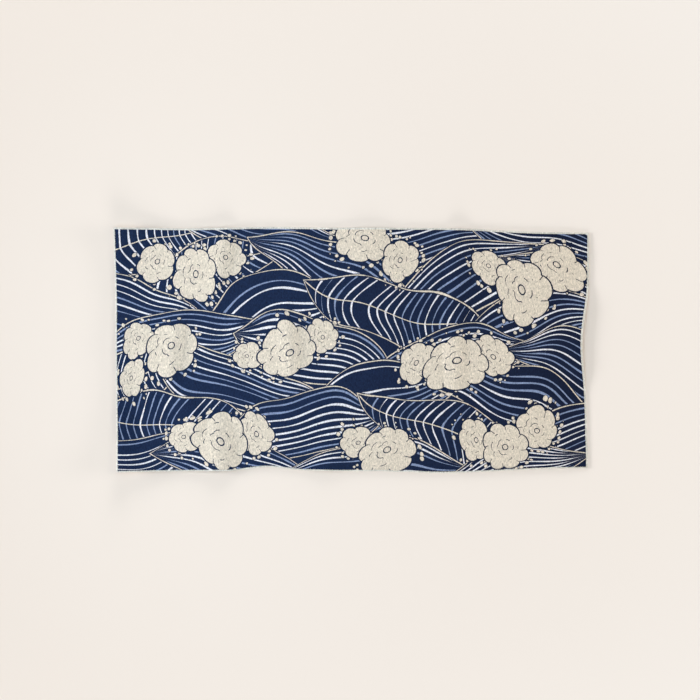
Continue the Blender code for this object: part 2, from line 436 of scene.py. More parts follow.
def sheet_points():
    """Points and flat places: upper grid, lower grid, then the rim's rings, even turns of a half circle."""
    along, across = np.meshgrid(lines_long, lines_short, indexing="ij")
    x, y, base = laid(along, across)
    distance = edge_distance(along, across)
    inland = soft_step((distance - PILE_STARTS) / (PILE_FULL - PILE_STARTS))
    top = base + thickness(distance, along) + inland * pile_unevenness(x, y)
    flat = listed(along, across)

    turns = np.pi * np.arange(1, RIM_STEPS)[:, None] / RIM_STEPS
    rim_along = edge_x + out_x * RIM_RADIUS * np.sin(turns)
    rim_across = edge_y + out_y * RIM_RADIUS * np.sin(turns)
    rim_x, rim_y, rim_base = laid(rim_along, rim_across)
    half = thickness(RIM_RADIUS, edge_x) / 2
    rim = listed(rim_x, rim_y, rim_base + half + half * np.cos(turns))
    points = np.concatenate([listed(x, y, top), listed(x, y, base), rim])
    return points, np.concatenate([flat, flat, listed(rim_along, rim_across)])


def sheet_faces():
    """Four-cornered faces: the upper grid, the lower grid turned over, and bands from ring to ring."""
    number = np.arange(len(lines_long) * len(lines_short)).reshape(len(lines_long), len(lines_short))
    upper = listed(number[:-1, :-1], number[1:, :-1], number[1:, 1:], number[:-1, 1:])
    lower = upper[:, ::-1] + number.size
    ring = number[ring_column, ring_row]
    between = [2 * number.size + step * len(ring) + np.arange(len(ring)) for step in range(RIM_STEPS - 1)]
    rings = np.array([ring, *between, ring + number.size])
    after = np.roll(rings, -1, axis=1)
    return upper, lower, listed(rings[:-1], rings[1:], after[1:], after[:-1])


def make_mesh(name, points, faces):
    """A mesh whose faces all have the same number of corners, filled from whole arrays, shaded smooth."""
    mesh = bpy.data.meshes.new(name)
    corners = faces.shape[1]
    mesh.vertices.add(len(points))
    mesh.vertices.foreach_set("co", points.astype(np.float32).ravel())
    mesh.loops.add(faces.size)
    mesh.loops.foreach_set("vertex_index", faces.astype(np.int32).ravel())
    mesh.polygons.add(len(faces))
    mesh.polygons.foreach_set("loop_start", np.arange(len(faces), dtype=np.int32) * corners)
    mesh.update(calc_edges=True)
    mesh.polygons.foreach_set("use_smooth", np.ones(len(faces), dtype=bool))
    mesh.validate()
    made = bpy.data.objects.new(name, mesh)
    bpy.context.scene.collection.objects.link(made)
    return made


points, flat_places = sheet_points()
upper_faces, lower_faces, rim_faces = sheet_faces()
towel = make_mesh("towel_cloth", points, np.concatenate([upper_faces, lower_faces, rim_faces]))
print("the sheet has", len(points), "points and", 2 * len(towel.data.polygons), "triangles")
print("its box, m:", np.round(points.min(axis=0), 4), np.round(points.max(axis=0), 4))

# %% [markdown]
# ## Where each point was on the flat cloth
#
# A print is made on flat cloth, so the print has to follow the cloth into its folds. Each point keeps its
# flat place, in metres, as an attribute that the material reads. A UV map lays the face and the back one
# above the other, for anyone who wants to bake the cloth. The rim is unrolled round the face, a little
# wider than it is, because otherwise it would be too narrow for a single pixel.

# %% Flat places and the map
MAP_MARGIN = 0.014
MAP_SIDE = 2 * (FLAT_SHORT + 2 * MAP_MARGIN)
MAP_RIM_STEP = 0.0016
MAP_FACE_Y = 0.75
MAP_BACK_Y = 0.25


def keep_flat_places(thing, places):
    """Stores each point's flat place, with a third value of 0, as the attribute flat_cloth."""
    stored = thing.data.attributes.new("flat_cloth", "FLOAT_VECTOR", "POINT")
    values = np.column_stack([places, np.zeros(len(places))])
    stored.data.foreach_set("vector", values.astype(np.float32).ravel())


def rim_corners():
    """For each corner of the rim's faces, the edge's flat place moved outwards by a step for each ring."""
    edge, outwards = np.column_stack([edge_x, edge_y]), np.column_stack([out_x, out_y])
    rings = edge + outwards * MAP_RIM_STEP * np.arange(RIM_STEPS + 1)[:, None, None]
    after = np.roll(rings, -1, axis=1)
    return np.stack([rings[:-1], rings[1:], after[1:], after[:-1]], axis=2).reshape(-1, 2)


def lay_out_map(thing, places):
    """Flat metres moved to the middle of the upper or the lower half and divided by the map's side."""
    corner_points = np.empty(len(thing.data.loops), dtype=np.int32)
    thing.data.loops.foreach_get("vertex_index", corner_points)
    rim_starts = upper_faces.size + lower_faces.size
    flat = np.concatenate([places[corner_points[:rim_starts]], rim_corners()])
    middle_y = np.full(len(flat), MAP_FACE_Y)
    middle_y[upper_faces.size:rim_starts] = MAP_BACK_Y
    mapped = np.column_stack([flat[:, 0] / MAP_SIDE + 0.5, flat[:, 1] / MAP_SIDE + middle_y])
    layer = thing.data.uv_layers.new(name="OFBake")
    layer.data.foreach_set("uv", mapped.astype(np.float32).ravel())
    return mapped


keep_flat_places(towel, flat_places)
mapped = lay_out_map(towel, flat_places)
print("the map spans", np.round(mapped.min(axis=0), 3), "to", np.round(mapped.max(axis=0), 3))

# %% [markdown]
# ## The lockstitch along the hem
#
# A narrow hem is held by one row of machine stitches. Each stitch is a short, fat thread that goes down
# into the cloth at both ends, so it is made as a small arched strip with a round back. All the stitches
# share one template and are joined in one mesh, because there are more than a thousand of them.

# %% Stitches
STITCH_PITCH = 0.0036
STITCH_LENGTH = 0.0029
STITCH_HALF_WIDTH = 0.00038
STITCH_RISE = 0.00045
STITCH_SINK = 0.00015
STITCH_RINGS = 5
STITCH_SIDES = 4
STITCH_SLIMMEST = 0.55
STITCH_FATTENS = 0.45
SLIM_REACH = 1.4
ARCH_REACH = 1.7


def edge_walk(inset, pitch):
    """Even steps round a rectangle that is inset from the flat cloth's edge, with each step's direction."""
    half_x, half_y = FLAT_LONG / 2 - inset, FLAT_SHORT / 2 - inset
    corners = np.array([(-half_x, -half_y), (half_x, -half_y), (half_x, half_y), (-half_x, half_y)])
    places, ways = [], []
    for start, end in zip(corners, np.roll(corners, -1, axis=0)):
        length = np.hypot(*(end - start))
        count = int(round(length / pitch))
        share = (np.arange(count) + 0.5)[:, None] / count
        places.append(start + (end - start) * share)
        ways.append(np.tile((end - start) / length, (count, 1)))
    return np.concatenate(places), np.concatenate(ways)


def top_of(flat):
    """The top of the cloth over flat places: the laid plan, and the underside plus the thickness."""
    along, across = flat[..., 0], flat[..., 1]
    x, y, base = laid(along, across)
    return np.stack([x, y, base + thickness(edge_distance(along, across), along)], axis=-1)


def make_tubes(name, points, way):
    """Many open tubes in one mesh, from points by tube, ring and side. A way of -1 turns the faces over."""
    count, rings, sides, _ = points.shape
    ring, side = np.meshgrid(np.arange(rings - 1) * sides, np.arange(sides), indexing="ij")
    after = (side + 1) % sides
    template = listed(ring + side, ring + after, ring + sides + after, ring + sides + side)[:, ::way]
    faces = template + np.arange(count)[:, None, None] * rings * sides
    print(name, "has", count, "tubes and", 2 * faces[..., 0].size, "triangles")
    return make_mesh(name, points.reshape(-1, 3), faces.reshape(-1, 4))


def make_stitches():
    """Each stitch's middle line is an arch, a bump of its length, and its section is a small circle."""
    places, ways = edge_walk(STITCH_INSET, STITCH_PITCH)
    along = np.linspace(-0.5, 0.5, STITCH_RINGS)
    turn = 2 * np.pi * (np.arange(STITCH_SIDES) + 0.5)[:, None] / STITCH_SIDES
    slim = STITCH_SLIMMEST + STITCH_FATTENS * soft_bump(along * SLIM_REACH)
    middle = top_of(places[:, None] + ways[:, None] * (along * STITCH_LENGTH)[:, None])
    middle[..., 2] += STITCH_RISE * soft_bump(along * ARCH_REACH) - STITCH_SINK
    sideways = np.column_stack([-ways[:, 1], ways[:, 0], np.zeros(len(ways))])
    upwards = np.array([0.0, 0.0, 1.0])
    section = (np.cos(turn) * sideways[:, None] + np.sin(turn) * upwards) * STITCH_HALF_WIDTH
    return make_tubes("hem_stitches", middle[:, :, None] + slim[:, None, None] * section[:, None], -1)


stitches = make_stitches()

# %% [markdown]
# ## Loops of yarn at the rim
#
# From the side a towel's edge is never a clean line, because loops of the pile stand out of it. Those on
# the face are left to the material's bump, and those at the rim are real loops of yarn: half ovals, each
# with a thin three-sided section, leaning outwards at the edge and upwards further in.

# %% Rim loops
LOOP_PITCH = 0.0009
LOOP_BAND = 0.0046
LOOP_HALF_SPAN = 0.0009
LOOP_RISE = 0.0010
LOOP_YARN = 0.00026
LOOP_RINGS = 5
LOOP_SIDES = 3
LOOP_SEED = 31
LOOP_CROWDING = 1.3
LOOP_LEANS = (0.3, 1.1)
LOOP_TILTS = (-0.5, 0.5)
LOOP_TILT_SHARE = 0.5
LOOP_TURNS = (-1.2, 1.2)
LOOP_SIZES = (0.75, 1.15)
LOOP_SINK = 0.0002


def unit(ways):
    """Directions divided by their own lengths."""
    return ways / np.linalg.norm(ways, axis=1, keepdims=True)


def make_rim_loops():
    """Each loop is a half oval of yarn about its foot: a span along the edge and a rise along its lean."""
    rng = np.random.default_rng(LOOP_SEED)
    flat, ways = edge_walk(0.0, LOOP_PITCH)
    count = len(flat)
    outwards = np.stack([ways[:, 1], -ways[:, 0]], axis=-1)
    depth = RIM_RADIUS + LOOP_BAND * rng.random(count) ** LOOP_CROWDING
    foot = top_of(flat - outwards * depth[:, None])
    lean = soft_step(1.0 - (depth - RIM_RADIUS) / LOOP_BAND) * rng.uniform(*LOOP_LEANS, count)
    tilt = rng.uniform(*LOOP_TILTS, count)
    leaning = outwards * np.sin(lean)[:, None] + ways * np.sin(tilt)[:, None] * LOOP_TILT_SHARE
    up = unit(np.column_stack([leaning, np.cos(lean)]))
    turn = rng.uniform(*LOOP_TURNS, count)
    span = np.column_stack([
        ways[:, 0] * np.cos(turn) - ways[:, 1] * np.sin(turn),
        ways[:, 1] * np.cos(turn) + ways[:, 0] * np.sin(turn),
        np.zeros(count),
    ])
    span = unit(span - up * (span * up).sum(axis=1, keepdims=True))
    across = np.cross(span, up)
    bend = np.pi * np.arange(LOOP_RINGS)[:, None] / (LOOP_RINGS - 1)
    around = 2 * np.pi * np.arange(LOOP_SIDES)[:, None] / LOOP_SIDES
    size = rng.uniform(*LOOP_SIZES, count)
    sideways, upwards = np.cos(bend) * span[:, None], np.sin(bend) * up[:, None]
    centre = (sideways * LOOP_HALF_SPAN + upwards * LOOP_RISE) * size[:, None, None]
    centre = centre + foot[:, None] - up[:, None] * LOOP_SINK
    section = np.cos(around) * (sideways + upwards)[:, :, None] + np.sin(around) * across[:, None, None]
    return make_tubes("rim_loops", centre[:, :, None] + LOOP_YARN * section, 1)


rim_loops = make_rim_loops()

# %% [markdown]
# ## Colours, and one small function for nodes
#
# The colours are read as screen colours, written as hex, and turned to linear light, which is what shaders
# work in. The dyes are printed on white cotton: a navy ground, a mid blue, a pale blue that is nearly white,
# and a warm cream. Towards the right the navy is made darker as painted shade, where less light falls. One
# function adds every node. Each material binds it to its own tree, under the name put.

# %% Colours and nodes


def linear(code):
    """The sRGB curve undone for each of the three channels of a six-figure hex code."""
    screen = [int(code[start:start + 2], 16) / 255 for start in (0, 2, 4)]
    light = [c / 12.92 if c <= 0.04045 else ((c + 0.055) / 1.055) ** 2.4 for c in screen]
    return (*light, 1.0)


NAVY = linear("13223e")
# Painted shade: the navy that the ground darkens to on the right, where less light falls.
NAVY_IN_PAINTED_SHADE = linear("0e1830")
MID_BLUE = linear("7987a6")
PALE_BLUE = linear("d2d1d8")
CREAM = linear("cabfb0")
UNDYED = linear("d3d0c9")
THREAD = linear("e6e0d2")


MODES = {
    "Math": "operation", "VectorMath": "operation", "Mix": "data_type", "Mapping": "vector_type",
    "TexNoise": "noise_dimensions", "TexWhiteNoise": "noise_dimensions", "TexVoronoi": "voronoi_dimensions",
    "TexWave": "bands_direction", "MapRange": "interpolation_type",
}


def add_node(tree, kind, *inputs, output=None, **settings):
    """Adds a node of a kind, any mode after a space, with its settings and its values or links.

    Inputs come in turn, counting those that the settings leave in use, or by name in one dictionary. Given
    back is the output that is named, or else the only one in use, or else all of those.
    """
    kind, _, mode = kind.partition(" ")
    node = tree.nodes.new("ShaderNode" + kind)
    if mode:
        settings[MODES[kind]] = mode
    for name, value in settings.items():
        setattr(node, name, value)
    sockets = [socket for socket in node.inputs if socket.enabled]
    if inputs and isinstance(inputs[0], dict):
        sockets, inputs = [node.inputs[name] for name in inputs[0]], inputs[0].values()
    for socket, value in zip(sockets, inputs):
        if isinstance(value, bpy.types.NodeSocket):
            tree.links.new(value, socket)
        else:
            socket.default_value = value
    if output:
        return node.outputs[output]
    outputs = [socket for socket in node.outputs if socket.enabled]
    return outputs[0] if len(outputs) == 1 else outputs


def new_material(name):
    """An empty node material, and the function that puts nodes in its tree."""
    material = bpy.data.materials.new(name)
    material.use_nodes = True
    material.node_tree.nodes.clear()
    return material, partial(add_node, material.node_tree)


def finish_cloth(put, colour, finish, height, bump, depth):
    """A principled surface with its finish's levels by name, and a height as bump, in metres of depth."""
    normal = put("Bump", {"Strength": bump, "Distance": depth, "Height": height})
    surface = put("BsdfPrincipled", {"Base Color": colour, "Normal": normal, **finish})
    put("OutputMaterial", {"Surface": surface})


print("navy in linear light:", [round(part, 4) for part in NAVY[:3]])

# %% [markdown]
# ## The print: flowers on leaves
#
# The print is drawn by the material, so it stays sharp at any distance. Its shapes are laid out in two
# tables, back to front, in metres on the flat cloth. Each leaf is a lens shape with a bent middle, filled
# with veins. Each blossom is a disc with a petalled edge. The nodes walk through a table and keep, for
# every point, its place within the shape that lies in front, so the veins and the petals are only drawn
# once.

# %% Tables of the print
Leaf = namedtuple("Leaf", "x y turn half_length half_width bend")
LEAVES = [Leaf(*row) for row in (
    (-0.66, 0.34, 12, 0.3, 0.105, 1), (-0.3, 0.37, -14, 0.3, 0.1, -1),
    (0.22, 0.36, 10, 0.32, 0.105, 1), (0.62, 0.35, -12, 0.28, 0.1, -1),
    (-0.48, 0.22, 24, 0.3, 0.11, 1), (-0.05, 0.23, -20, 0.3, 0.105, -1),
    (0.36, 0.22, 22, 0.32, 0.11, 1), (0.74, 0.18, -16, 0.28, 0.105, -1),
    (-0.72, 0.13, -18, 0.28, 0.105, -1), (-0.28, 0.11, 16, 0.3, 0.11, 1),
    (0.13, 0.12, -12, 0.3, 0.1, -1), (0.55, 0.07, 18, 0.3, 0.11, 1),
    (-0.56, 0.02, 10, 0.3, 0.1, -1), (-0.09, -0.01, -22, 0.3, 0.11, 1),
    (0.3, -0.02, 14, 0.3, 0.105, 1), (0.74, -0.05, -20, 0.28, 0.105, 1),
    (-0.74, -0.11, 20, 0.26, 0.1, 1), (-0.36, -0.11, -16, 0.3, 0.105, -1),
    (0.1, -0.14, 18, 0.3, 0.11, 1), (0.51, -0.15, -16, 0.3, 0.105, -1),
    (-0.58, -0.22, -10, 0.3, 0.105, 1), (-0.17, -0.24, 14, 0.3, 0.105, 1),
    (0.29, -0.26, -18, 0.3, 0.105, -1), (0.7, -0.26, 16, 0.28, 0.105, 1),
    (-0.72, -0.36, 14, 0.28, 0.1, -1), (-0.36, -0.37, -16, 0.3, 0.1, 1),
    (0.05, -0.38, 8, 0.3, 0.1, 1), (0.48, -0.38, 12, 0.3, 0.1, 1),
)]
Blossom = namedtuple("Blossom", "x y radius petals turn")
BLOSSOMS = [Blossom(*row) for row in (
    (-0.63, 0.27, 0.054, 6, 20), (-0.38, 0.27, 0.064, 7, 0), (-0.5, 0.23, 0.08, 8, 10),
    (0.02, 0.34, 0.076, 7, 0), (0.14, 0.29, 0.064, 6, 30),
    (0.66, 0.25, 0.073, 7, 0), (0.44, 0.24, 0.062, 6, 15), (0.54, 0.18, 0.088, 8, 5),
    (-0.09, 0.05, 0.06, 7, 0), (-0.31, 0.0, 0.05, 6, 12), (-0.2, 0.01, 0.078, 8, 8),
    (0.44, -0.01, 0.068, 7, 0), (0.21, -0.02, 0.062, 6, 40), (0.33, -0.04, 0.088, 8, 3),
    (-0.68, 0.02, 0.054, 7, 0), (-0.57, -0.01, 0.076, 7, 20), (-0.68, -0.08, 0.046, 6, 0),
    (-0.31, -0.27, 0.058, 7, 10), (-0.52, -0.28, 0.056, 6, 0), (-0.42, -0.3, 0.078, 8, 0),
    (0.01, -0.28, 0.054, 6, 12), (0.1, -0.32, 0.08, 8, 0),
    (0.37, -0.28, 0.062, 6, 0), (0.59, -0.24, 0.066, 7, 0), (0.48, -0.31, 0.086, 8, 20),
)]
print("leaves:", len(LEAVES), "blossoms:", len(BLOSSOMS))

# %% [markdown]
# ## A hand-drawn place
#
# A print that is drawn by hand isn't made of perfect curves, and on terry its edges are ragged, because the
# dye sits on loops. So the flat place is first moved about: gently over a hand's width, which bends every
# shape a little, and by less than a millimetre from loop to loop, which roughens every edge.

# %% Hand-drawn place
SWAY_SPACING = 0.22
SWAY = 0.075
RAGGED_SPACING = 0.0032
RAGGED = 0.0016
# Painted shade: between these two places along x the navy ground darkens, where less light falls.
PAINTED_SHADE_FROM = -0.20
PAINTED_SHADE_TO = 0.65


def shifted(put, flat, place, spacing, size, detail):
    """A place plus the size times a noise of the flat place, with values from 0 to 1 at that spacing."""
    noise = put("TexNoise 2D", {"Vector": flat, "Scale": 1 / spacing, "Detail": detail}, output="Color")
    return put("VectorMath MULTIPLY_ADD", noise, (size, size, 0.0), place)


def drawn_place(put):
    """The flat place plus a slow and a fast random shift, each noise less a half times its size."""
    flat = put("Attribute", output="Vector", attribute_name="flat_cloth")
    moved = shifted(put, flat, flat, SWAY_SPACING, SWAY, 0.0)
    moved = shifted(put, flat, moved, RAGGED_SPACING, RAGGED, 1.0)
    middle = -0.5 * (SWAY + RAGGED)
    return flat, put("VectorMath ADD", moved, (middle, middle, 0.0))


def own_place(put, place, shape, size, mark):
    """The place about a shape's middle, turned back and divided by its size. The mark is its third value."""
    turn = (0.0, 0.0, np.radians(shape.turn))
    return put("Mapping TEXTURE", place, (shape.x, shape.y, -mark), turn, (*size, 1.0))


def soft_line(put, inside, softness):
    """The distance inside an edge over the softness, plus a half, kept between 0 and 1."""
    return put("Math MULTIPLY_ADD", inside, 1 / softness, 0.5, use_clamp=True)


def ground_with_painted_shade(put, flat):
    """Navy on the left, darker between two given places along x, in even steps: painted shade where less
    light falls.
    """
    x, _, _ = put("SeparateXYZ", flat)
    share = put("MapRange", x, PAINTED_SHADE_FROM, PAINTED_SHADE_TO)
    return put("Mix RGBA", share, NAVY, NAVY_IN_PAINTED_SHADE)


# %% [markdown]
# ## The leaves
#
# Within a leaf, one number runs from -1 to 1 along it and another from -1 to 1 across it. A point is on the
# leaf where its place across, bent by the square of its place along, is less than one less that square. The
# front leaf's place is kept, with a third value that is the leaf's number, and its sign says which way it
# bends. The veins are even steps of the place across, so they run together towards both tips. Every fourth
# leaf has side veins instead, which slant away from its middle.

# %% Leaves
BEND = 0.25
LEAF_HALF_WIDTH = 0.105
LEAF_HALF_LENGTH = 0.30
VEINS = 5.0
SIDE_VEINS_EVERY = 4.0
NEARLY = 0.1
SIDE_VEIN_STEP = 0.024
SIDE_VEIN_WIDE = 0.0264
SIDE_VEIN_REACH = 2.2
SIDE_VEIN_CURVE = 1.5
MIDRIB = 0.0016


def bent_place(put, along, across, bend):
    """The place across plus the bend times the square along, and the half width: 1 less that square."""
    square = put("Math MULTIPLY", along, along)
    return put("Math MULTIPLY_ADD", square, bend, across), put("Math SUBTRACT", 1.0, square)


def front_leaf(put, place):
    """Walks through the leaves, and at each keeps the leaf's own place where the point is on it."""
    front = (0.0, 0.0, 0.0)
    for number, leaf in enumerate(LEAVES, start=1):
        own = own_place(put, place, leaf, (leaf.half_length, leaf.half_width), number * leaf.bend)
        along, across, _ = put("SeparateXYZ", own)
        bent, width = bent_place(put, along, across, BEND * leaf.bend)
        on_leaf = put("Math COMPARE", bent, 0.0, width)
        front = put("Mix VECTOR", on_leaf, front, own)
    return front


def count_veins(put, along, bent, share, width, number):
    """The place counted in veins, their step in metres, and the midrib: straight veins, or slanted ones."""
    straight = put("Math MULTIPLY_ADD", share, VEINS, 0.5)
    straight_step = put("Math MULTIPLY", width, LEAF_HALF_WIDTH / VEINS)
    away = put("Math ABSOLUTE", bent)
    away_power = put("Math POWER", away, SIDE_VEIN_CURVE)
    slant = put("Math MULTIPLY_ADD", away_power, -SIDE_VEIN_REACH, 0.5)
    slanted = put("Math MULTIPLY_ADD", along, LEAF_HALF_LENGTH / SIDE_VEIN_STEP, slant)
    rib = put("Math LESS_THAN", away, MIDRIB / LEAF_HALF_WIDTH)
    turn = put("Math FLOORED_MODULO", number, SIDE_VEINS_EVERY)
    is_slanted = put("Math COMPARE", turn, 1.0, NEARLY)
    counted = put("Mix", is_slanted, straight, slanted)
    step = put("Mix", is_slanted, straight_step, SIDE_VEIN_WIDE)
    return counted, step, put("Math MULTIPLY", rib, is_slanted)


# %% [markdown]
# ## Veins and outlines
#
# A vein is drawn where its middle is nearer than its half thickness, which swells and thins along it and
# tapers off before the leaf's tip. Some are left out, and half are pale. A cream line follows the leaf's
# rim.

# %% Veins and outlines
EDGE_SOFT = 0.0007
SWELL_SHIFT = (3.7, 5.1, 0.0)
SWELL_SCALE = 2.4
VEIN_THIN = 0.0006
VEIN_SWELL = 0.0032
VEIN_MOST = 0.195
VEIN_ENDS = 0.16
ODD_VEIN_ENDS = 0.25
VEIN_TAPER = 4.0
VEINS_SHOWN = 0.92
VEINS_PALE = 0.50
RIM_LINE = (0.0030, 0.0062)
RIM_CLEAR = 0.0030
RIM_LINE_THIN = 0.0004
RIM_LINE_SWELL = 0.0022


def vein_lines(put, front, number, width, counted, step):
    """The veins' lines, with the chance that is each vein's own and the noise that swells them."""
    vein = put("Math FLOOR", counted)
    offset = put("Math SUBTRACT", counted, vein)
    from_vein = put("Math ABSOLUTE", put("Math SUBTRACT", offset, 0.5))
    distance = put("Math MULTIPLY", from_vein, step)
    tag = put("CombineXYZ", vein, number, 0.5)
    chance, _ = put("TexWhiteNoise 3D", tag)
    place = put("VectorMath MULTIPLY_ADD", tag, SWELL_SHIFT, front)
    swell = put("TexNoise 2D", {"Vector": place, "Scale": SWELL_SCALE, "Detail": 0.0}, output="Fac")
    half = put("Math MULTIPLY_ADD", swell, VEIN_SWELL, VEIN_THIN)
    half = put("Math MINIMUM", half, put("Math MULTIPLY", step, VEIN_MOST))
    odd = put("Math FLOORED_MODULO", vein, 2.0)
    ends_at = put("Math MULTIPLY_ADD", odd, ODD_VEIN_ENDS, VEIN_ENDS)
    room = put("Math SUBTRACT", width, ends_at)
    taper = put("Math MULTIPLY", room, VEIN_TAPER, use_clamp=True)
    half = put("Math MULTIPLY", half, taper)
    line = soft_line(put, put("Math SUBTRACT", half, distance), EDGE_SOFT)
    shown = put("Math LESS_THAN", chance, VEINS_SHOWN)
    return put("Math MULTIPLY", line, shown), chance, swell


def leaf_rim(put, share, width, swell):
    """The cream line at a distance inside the leaf's edge, and 1 where the veins are clear of it."""
    share_in = put("Math SUBTRACT", 1.0, put("Math ABSOLUTE", share))
    to_rim = put("Math MULTIPLY", share_in, LEAF_HALF_WIDTH)
    to_rim = put("Math MULTIPLY", to_rim, width)
    clear = put("Math GREATER_THAN", to_rim, RIM_LINE[1] + RIM_CLEAR)
    from_line = put("Math ABSOLUTE", put("Math SUBTRACT", to_rim, sum(RIM_LINE) / 2))
    thick = put("Math MULTIPLY_ADD", swell, RIM_LINE_SWELL, RIM_LINE_THIN)
    return soft_line(put, put("Math SUBTRACT", thick, from_line), EDGE_SOFT), clear


def leaf_colour(put, place, ground):
    """The ground, with the veins and the midrib in their inks, and the cream outline over them."""
    front = front_leaf(put, place)
    along, across, number = put("SeparateXYZ", front)
    bend = put("Math MULTIPLY", put("Math SIGN", number), BEND)
    bent, width = bent_place(put, along, across, bend)
    share = put("Math DIVIDE", bent, width)
    counted, step, rib = count_veins(put, along, bent, share, width, number)
    line, chance, swell = vein_lines(put, front, number, width, counted, step)
    rim, clear = leaf_rim(put, share, width, swell)
    line = put("Math MULTIPLY", put("Math MAXIMUM", line, rib), clear)

    bright = put("Math LESS_THAN", chance, VEINS_PALE)
    vein_ink = put("Mix RGBA", bright, MID_BLUE, PALE_BLUE)
    vein_ink = put("Mix RGBA", rib, vein_ink, CREAM)
    off_leaf = put("Math COMPARE", number, 0.0, 0.5)
    on_leaf = put("Math SUBTRACT", 1.0, off_leaf)
    colour = ground
    for drawn, ink in ((line, vein_ink), (rim, CREAM)):
        shown = put("Math MULTIPLY", drawn, on_leaf)
        colour = put("Mix RGBA", shown, colour, ink)
    return colour


# %% [markdown]
# ## The blossoms
#
# A blossom's place is divided by its radius, so its edge is near 1. The edge is notched between petals: one
# less a power of the angle from the petal's middle. A narrow navy line is left round each blossom, so that
# those which overlap stay apart. The third value kept is the number of petals, in thousandths, so that it
# hardly changes the distance. Thin navy lines part the petals, curl a little, and ring two inner rows.

# %% Blossoms
NOTCH = 0.14
NOTCH_POWER = 2.5
OUTLINE = 0.0045
STORED = 0.001
FAR_OFF = 9.0
LARGEST_RADIUS = 0.09
PETAL_LINE = 0.0013 / LARGEST_RADIUS
WOBBLE_SCALE = 3.0
CURL = 0.40
LINES_FROM = 0.52
LINES_WOBBLE = 0.40
INNER_ROWS = ((0.62, 1.0, 0.9), (0.36, 2.0, 0.3))
INNER_NOTCH = 0.16
ROWS_SHOWN = 0.53
HEART = (0.12, 0.020)


def front_blossom(put, place):
    """Walks through the blossoms as through the leaves, and also keeps the distance to the nearest edge."""
    front, near = (0.0, 0.0, 0.0), FAR_OFF
    for blossom in BLOSSOMS:
        radius, half_petal = blossom.radius, np.pi / blossom.petals
        own = own_place(put, place, blossom, (radius, radius), blossom.petals * STORED)
        x, y, _ = put("SeparateXYZ", own)
        away = put("VectorMath LENGTH", own)
        from_middle = put("Math PINGPONG", put("Math ARCTAN2", y, x), half_petal)
        power = put("Math POWER", from_middle, NOTCH_POWER)
        scale = -NOTCH / half_petal ** NOTCH_POWER
        edge = put("Math MULTIPLY_ADD", power, scale, 1.0 + OUTLINE / radius)
        on_blossom = put("Math LESS_THAN", away, edge)
        near = put("Math MINIMUM", near, put("Math MULTIPLY_ADD", away, radius, -radius))
        front = put("Mix VECTOR", on_blossom, front, own)
    return front, near


def petal_power(put, angle, half):
    """The angle from the nearest petal's middle, as a share of half a petal, raised to the notch's power."""
    share = put("Math DIVIDE", put("Math PINGPONG", angle, half), half)
    return put("Math POWER", share, NOTCH_POWER)


def petal_lines(put, front, petals, away, angle, half_petal):
    """The most of the lines between petals, the edges of two inner rows of petals, and the heart's ring."""
    wobble = put("TexNoise 2D", {"Vector": front, "Scale": WOBBLE_SCALE, "Detail": 1.0}, output="Fac")
    curled = put("Math ADD", angle, put("Math MULTIPLY_ADD", away, -CURL, CURL))
    curled = put("Math PINGPONG", curled, half_petal)
    to_line = put("Math MULTIPLY", put("Math SUBTRACT", half_petal, curled), away)
    starts = put("Math MULTIPLY_ADD", wobble, LINES_WOBBLE, LINES_FROM)
    far = put("Math GREATER_THAN", away, starts)
    lines = put("Math MULTIPLY", put("Math LESS_THAN", to_line, PETAL_LINE), far)
    for size, fewer, turn in INNER_ROWS:
        half = put("Math DIVIDE", np.pi, put("Math SUBTRACT", petals, fewer))
        power = petal_power(put, put("Math ADD", angle, turn), half)
        row = put("Math MULTIPLY_ADD", power, -INNER_NOTCH * size, size)
        row = put("Math COMPARE", row, away, PETAL_LINE)
        shown = put("Math GREATER_THAN", wobble, ROWS_SHOWN)
        lines = put("Math MAXIMUM", lines, put("Math MULTIPLY", row, shown))
    return put("Math MAXIMUM", lines, put("Math COMPARE", away, *HEART))


def blossom_colour(put, front, ground, behind):
    """Cream within the notched edge, less the lines, on a ground of navy. Elsewhere, what lies behind."""
    x, y, stored = put("SeparateXYZ", front)
    petals = put("Math MULTIPLY", stored, 1 / STORED)
    away = put("VectorMath LENGTH", front)
    angle = put("Math ARCTAN2", y, x)
    half_petal = put("Math DIVIDE", np.pi, petals)
    edge = put("Math MULTIPLY_ADD", petal_power(put, angle, half_petal), -NOTCH, 1.0)
    petal = soft_line(put, put("Math SUBTRACT", edge, away), EDGE_SOFT / LARGEST_RADIUS)
    lines = petal_lines(put, front, petals, away, angle, half_petal)
    petal = put("Math MULTIPLY", petal, put("Math SUBTRACT", 1.0, lines))
    on_blossom = put("Math GREATER_THAN", stored, STORED)
    inked = put("Mix RGBA", petal, ground, CREAM)
    return put("Mix RGBA", on_blossom, behind, inked)


# %% [markdown]
# ## The buds
#
# Small cream buds crowd round the blossoms. A Voronoi texture gives one point to each cell of the flat
# cloth, and a bud is drawn round it where the nearest blossom's edge is one or two centimetres off. They
# shrink to nothing on both sides of that band.

# %% Buds
BUD_SPACING = 0.019
BUD_SCATTER = 0.75
BUD_LEAST = 0.23
BUD_MORE = 0.23
BUD_BAND = 0.012
BUD_REACH = 0.013
BUD_OUTLINE = 0.10
BUD_SHARE = 0.66
BUD_TINY = 0.08


